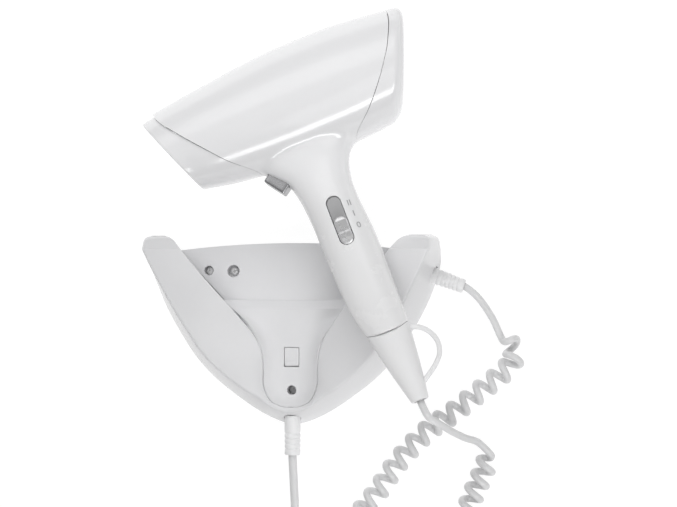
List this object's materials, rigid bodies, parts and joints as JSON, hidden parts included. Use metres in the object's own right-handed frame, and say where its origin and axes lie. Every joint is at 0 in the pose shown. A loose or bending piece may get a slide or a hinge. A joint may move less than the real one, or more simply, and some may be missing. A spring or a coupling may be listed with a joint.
{
  "type": "hair dryer with wall holder",
  "caption": "Pistol-grip hair dryer on a curly cord lying across its V-shaped wall holder, with slide switch, cool-shot button, docking button and mains cord with plug.",
  "frame": {"origin": "centre of the flat wall face of the holder, laid flat", "axes": "+Z out of the wall face (up, as laid on a table), +Y toward the open end of the holder's arms, +X toward the curly cord's outlet"},
  "size_m": [0.3158, 0.4635, 0.0841],
  "materials": {
    "handset_gloss": "glossy moulded plastic",
    "handset_satin": "satin moulded plastic",
    "holder_shell": "glossy moulded plastic",
    "holder_seat": "satin moulded plastic",
    "silver_controls": "silver satin plastic",
    "grey_trim": "fine matte plastic",
    "black_inner": "matte black plastic",
    "steel_parts": "zinc plated steel",
    "plug_metal": "nickel plated pins",
    "mica_board": "mica sheet",
    "resistance_wire": "oxidised wire and copper winding",
    "circuit_board": "glass-fibre board",
    "cord_sheath": "soft satin cable sheath"
  },
  "bodies": {
    "holder": {"outer_shell": "holder_shell", "front_cover": "holder_shell", "seat_insert": "holder_seat", "back_plate": "holder_seat", "arm_cap_left": "holder_shell", "arm_cap_right": "holder_shell", "park_switch": "black_inner", "terminal_block": "grey_trim", "wall_screw_outer_left": "steel_parts", "wall_screw_inner_left": "steel_parts", "wall_screw_inner_right": "steel_parts", "wall_screw_outer_right": "steel_parts", "wall_screw_lower": "steel_parts", "curly_gland": "cord_sheath", "mains_gland": "cord_sheath", "curly_lead_holder": "cord_sheath", "curly_coil": "cord_sheath", "mains_lead": "cord_sheath", "mains_coil": "cord_sheath", "cord_tie": "black_inner", "plug_lead": "cord_sheath", "plug_body": "cord_sheath", "plug_pin_1": "plug_metal", "plug_pin_2": "plug_metal"},
    "handset": {"casing_left": "handset_gloss", "casing_right": "handset_gloss", "nozzle": "handset_gloss", "rear_cover": "handset_gloss", "rear_grille": "grey_trim", "tail_cone": "handset_satin", "hanging_loop": "handset_satin", "cord_clamp": "grey_trim", "switch_track": "grey_trim", "switch_body": "black_inner", "cool_switch": "black_inner", "casing_screw_upper": "steel_parts", "casing_screw_lower": "steel_parts", "outlet_grille": "black_inner", "heat_shield": "steel_parts", "heater_frame": "mica_board", "heater_coil_front": "resistance_wire", "heater_coil_rear": "resistance_wire", "thermostat": "grey_trim", "thermal_fuse": "steel_parts", "motor_can": "steel_parts", "motor_mount": "black_inner", "fan_shroud": "black_inner", "control_board": "circuit_board", "board_choke": "resistance_wire", "curly_lead_handset": "cord_sheath"},
    "switch_slider": {"switch_slider": "silver_controls"},
    "cool_button": {"cool_button": "silver_controls"},
    "park_button": {"park_button": "holder_seat"},
    "fan_rotor": {"fan_impeller": "black_inner", "motor_shaft": "steel_parts"}
  },
  "joints": [
    {"name": "handset_lift", "type": "slide", "parent": "holder", "child": "handset", "axis": [0, 0, 1], "range_m": [0, 0.12]},
    {"name": "switch_slide", "type": "slide", "parent": "handset", "child": "switch_slider", "axis": [-0.3763, 0.9132, -0.1563], "range_m": [0, 0.014]},
    {"name": "cool_press", "type": "slide", "parent": "handset", "child": "cool_button", "axis": [0.5444, 0.8294, -0.1252], "range_m": [0, 0.0025], "stiffness_N_per_m": 400},
    {"name": "fan_spin", "type": "hinge", "parent": "handset", "child": "fan_rotor", "pos_m": [0.04602, 0.1728, 0.03955], "axis": [0.9263, 0.3743, -0.0436], "continuous": true},
    {"name": "park_press", "type": "slide", "parent": "holder", "child": "park_button", "axis": [0, 0, -1], "range_m": [0, 0.0025], "stiffness_N_per_m": 400}
  ]
}
